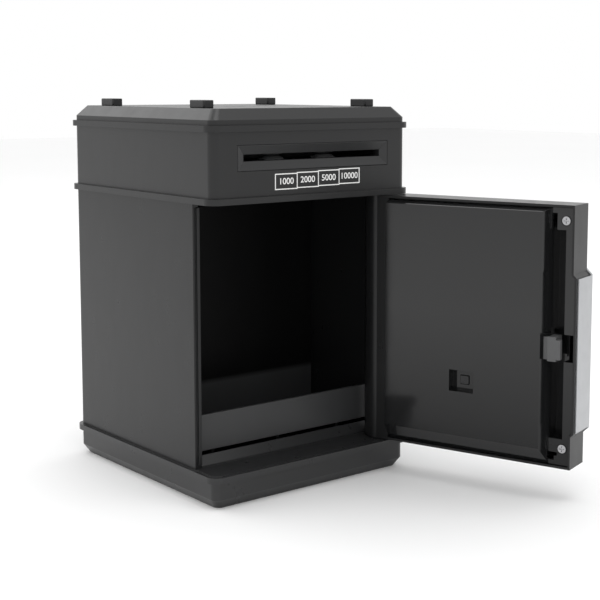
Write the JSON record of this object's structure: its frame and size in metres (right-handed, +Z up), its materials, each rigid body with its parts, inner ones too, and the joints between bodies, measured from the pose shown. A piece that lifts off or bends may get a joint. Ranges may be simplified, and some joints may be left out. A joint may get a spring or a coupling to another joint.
{
  "type": "toy atm savings bank",
  "caption": "Toy cash-machine savings bank with an open hinged door, note slot with feed rollers, coin slot, inner tray, keypad, knob and sliding latch bolt.",
  "frame": {"origin": "centre of the case's flat underside, on the surface it stands on", "axes": "+Z up, -Y out of the front with the note slot and doorway, +X towards the hinged side"},
  "size_m": [0.1664, 0.2362, 0.1941],
  "materials": {
    "black_shell": "satin",
    "dark_inner": "matte",
    "silver_paint": "satin silver",
    "key_plastic": "satin",
    "knob_plastic": "satin",
    "steel": "satin",
    "motor_can": "satin",
    "bolt_grey": "satin",
    "roller_rubber": "matte",
    "gear_plastic": "satin",
    "brass": "satin",
    "board": "satin",
    "cell_wrap": "gloss",
    "button_black": "satin",
    "lamp_green": "gloss",
    "lamp_yellow": "gloss",
    "lamp_red": "gloss"
  },
  "bodies": {
    "case": {"base": "black_shell", "battery_cover": "dark_inner", "battery_screw": "steel", "battery_cells": "cell_wrap", "battery_contacts": "brass", "case_shell": "black_shell", "case_screws": "steel", "money_tray": "dark_inner", "head_housing": "black_shell", "top_cover": "black_shell", "roof_lugs": "black_shell", "slot_bezel": "black_shell", "note_guide": "dark_inner", "feed_motor": "motor_can", "motor_bracket": "dark_inner", "note_sensor": "board", "coin_chute": "dark_inner", "hinge_pins": "steel"},
    "feed": {"feed_shaft": "steel", "feed_rollers": "roller_rubber", "drive_gear": "gear_plastic"},
    "idler": {"idler_shaft": "steel", "idler_rollers": "roller_rubber"},
    "pinion": {"motor_pinion": "brass"},
    "door": {"door_shell": "black_shell", "face_plate": "silver_paint", "door_pan": "black_shell", "door_screws": "steel", "keypad_board": "board", "main_board": "board", "lamp_green": "lamp_green", "lamp_yellow": "lamp_yellow", "lamp_red": "lamp_red", "lock_solenoid": "motor_can", "buzzer": "button_black"},
    "knob": {"knob": "knob_plastic", "knob_spindle": "steel"},
    "bolt": {"latch_bolt": "bolt_grey"},
    "plunger": {"lock_plunger": "steel"},
    "reset": {"reset_button": "button_black"},
    "key_1": {"key_1": "key_plastic"},
    "key_2": {"key_2": "key_plastic"},
    "key_3": {"key_3": "key_plastic"},
    "key_4": {"key_4": "key_plastic"},
    "key_5": {"key_5": "key_plastic"},
    "key_6": {"key_6": "key_plastic"},
    "key_7": {"key_7": "key_plastic"},
    "key_8": {"key_8": "key_plastic"},
    "key_9": {"key_9": "key_plastic"},
    "key_star": {"key_star": "key_plastic"},
    "key_0": {"key_0": "key_plastic"},
    "key_hash": {"key_hash": "key_plastic"}
  },
  "joints": [
    {"name": "door_hinge", "type": "hinge", "parent": "case", "child": "door", "pos_m": [0.0512, -0.058, 0.081], "axis": [0, 0, 1], "range_deg": [-108, 10]},
    {"name": "knob_turn", "type": "hinge", "parent": "door", "child": "knob", "pos_m": [0.0853, -0.13545, 0.076], "axis": [0.9511, 0.309, 0], "range_deg": [0, 90]},
    {"name": "bolt_slide", "type": "slide", "parent": "door", "child": "bolt", "axis": [0.309, -0.9511, 0], "range_m": [-0.0001, 0.0036]},
    {"name": "plunger_slide", "type": "slide", "parent": "door", "child": "plunger", "axis": [0, 0, -1], "range_m": [0, 0.0025], "stiffness_N_per_m": 60},
    {"name": "reset_press", "type": "slide", "parent": "door", "child": "reset", "axis": [0.9511, 0.309, 0], "range_m": [0, 0.0009], "stiffness_N_per_m": 300},
    {"name": "feed_spin", "type": "hinge", "parent": "case", "child": "feed", "pos_m": [0, -0.0525, 0.161], "axis": [1, 0, 0], "continuous": true},
    {"name": "idler_spin", "type": "hinge", "parent": "case", "child": "idler", "pos_m": [0, -0.0525, 0.173], "axis": [1, 0, 0], "continuous": true},
    {"name": "pinion_spin", "type": "hinge", "parent": "case", "child": "pinion", "pos_m": [-0.05, -0.04211, 0.155], "axis": [1, 0, 0], "continuous": true},
    {"name": "key_1_press", "type": "slide", "parent": "door", "child": "key_1", "axis": [-0.9511, -0.309, 0], "range_m": [0, 0.001], "stiffness_N_per_m": 300},
    {"name": "key_2_press", "type": "slide", "parent": "door", "child": "key_2", "axis": [-0.9511, -0.309, 0], "range_m": [0, 0.001], "stiffness_N_per_m": 300},
    {"name": "key_3_press", "type": "slide", "parent": "door", "child": "key_3", "axis": [-0.9511, -0.309, 0], "range_m": [0, 0.001], "stiffness_N_per_m": 300},
    {"name": "key_4_press", "type": "slide", "parent": "door", "child": "key_4", "axis": [-0.9511, -0.309, 0], "range_m": [0, 0.001], "stiffness_N_per_m": 300},
    {"name": "key_5_press", "type": "slide", "parent": "door", "child": "key_5", "axis": [-0.9511, -0.309, 0], "range_m": [0, 0.001], "stiffness_N_per_m": 300},
    {"name": "key_6_press", "type": "slide", "parent": "door", "child": "key_6", "axis": [-0.9511, -0.309, 0], "range_m": [0, 0.001], "stiffness_N_per_m": 300},
    {"name": "key_7_press", "type": "slide", "parent": "door", "child": "key_7", "axis": [-0.9511, -0.309, 0], "range_m": [0, 0.001], "stiffness_N_per_m": 300},
    {"name": "key_8_press", "type": "slide", "parent": "door", "child": "key_8", "axis": [-0.9511, -0.309, 0], "range_m": [0, 0.001], "stiffness_N_per_m": 300},
    {"name": "key_9_press", "type": "slide", "parent": "door", "child": "key_9", "axis": [-0.9511, -0.309, 0], "range_m": [0, 0.001], "stiffness_N_per_m": 300},
    {"name": "key_star_press", "type": "slide", "parent": "door", "child": "key_star", "axis": [-0.9511, -0.309, 0], "range_m": [0, 0.001], "stiffness_N_per_m": 300},
    {"name": "key_0_press", "type": "slide", "parent": "door", "child": "key_0", "axis": [-0.9511, -0.309, 0], "range_m": [0, 0.001], "stiffness_N_per_m": 300},
    {"name": "key_hash_press", "type": "slide", "parent": "door", "child": "key_hash", "axis": [-0.9511, -0.309, 0], "range_m": [0, 0.001], "stiffness_N_per_m": 300}
  ],
  "couplings": [
    {"joint": "bolt_slide", "follows": "knob_turn", "m_per_rad": 0.0021645},
    {"joint": "idler_spin", "follows": "feed_spin", "ratio": -1},
    {"joint": "pinion_spin", "follows": "feed_spin", "ratio": -3}
  ]
}
